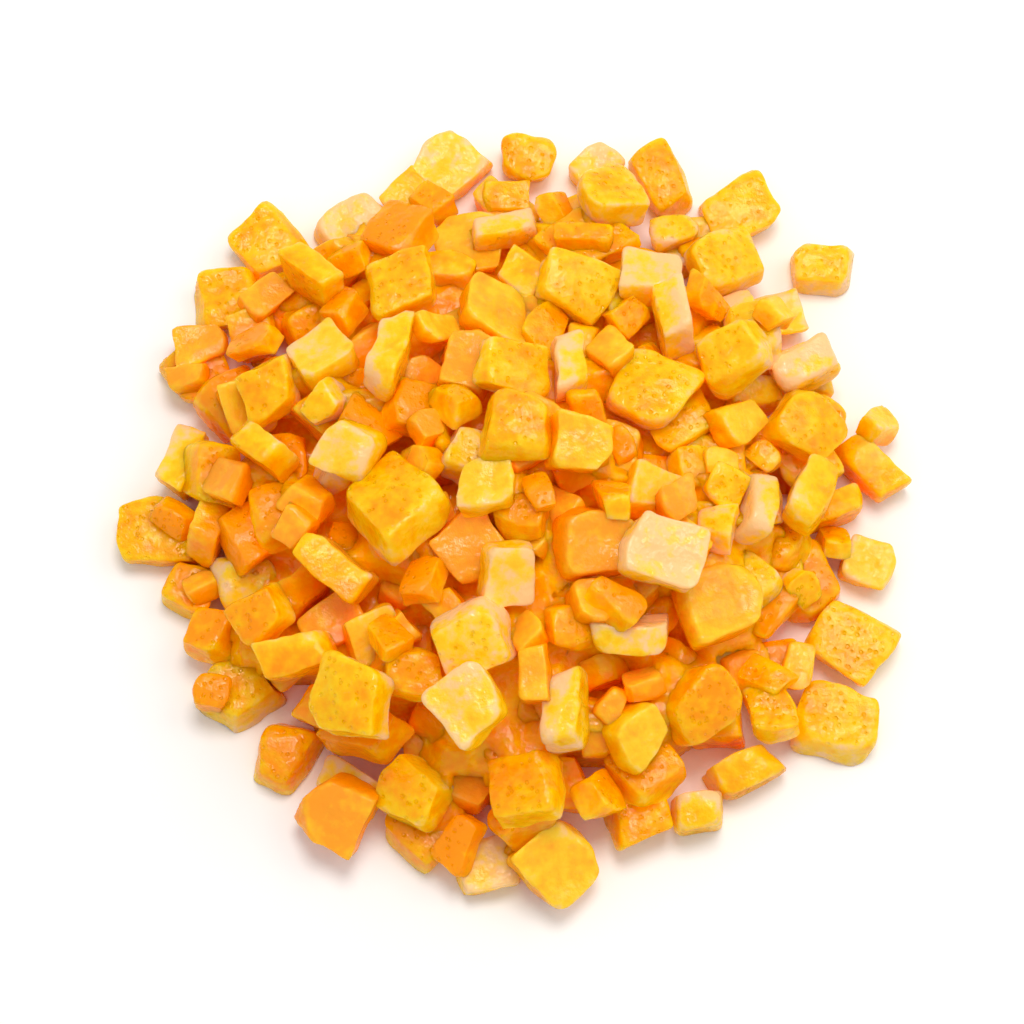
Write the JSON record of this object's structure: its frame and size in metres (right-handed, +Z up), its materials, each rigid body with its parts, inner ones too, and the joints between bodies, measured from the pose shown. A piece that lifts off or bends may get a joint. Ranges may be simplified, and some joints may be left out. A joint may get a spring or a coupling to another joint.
{
  "type": "heap of diced candied orange peel",
  "caption": "Loose round heap of small glossy candied peel dice, low domed top, uneven outline, flat underneath.",
  "frame": {"origin": "on the surface that the heap stands on, under the middle of the heap", "axes": "+Z up; +X to the right and +Y away, seen from the front of the heap"},
  "size_m": [0.1044, 0.1087, 0.0261],
  "materials": {
    "candied_peel": "translucent orange, glossy with syrup"
  },
  "bodies": {
    "root": {"peel_heap": "candied_peel"}
  },
  "joints": []
}
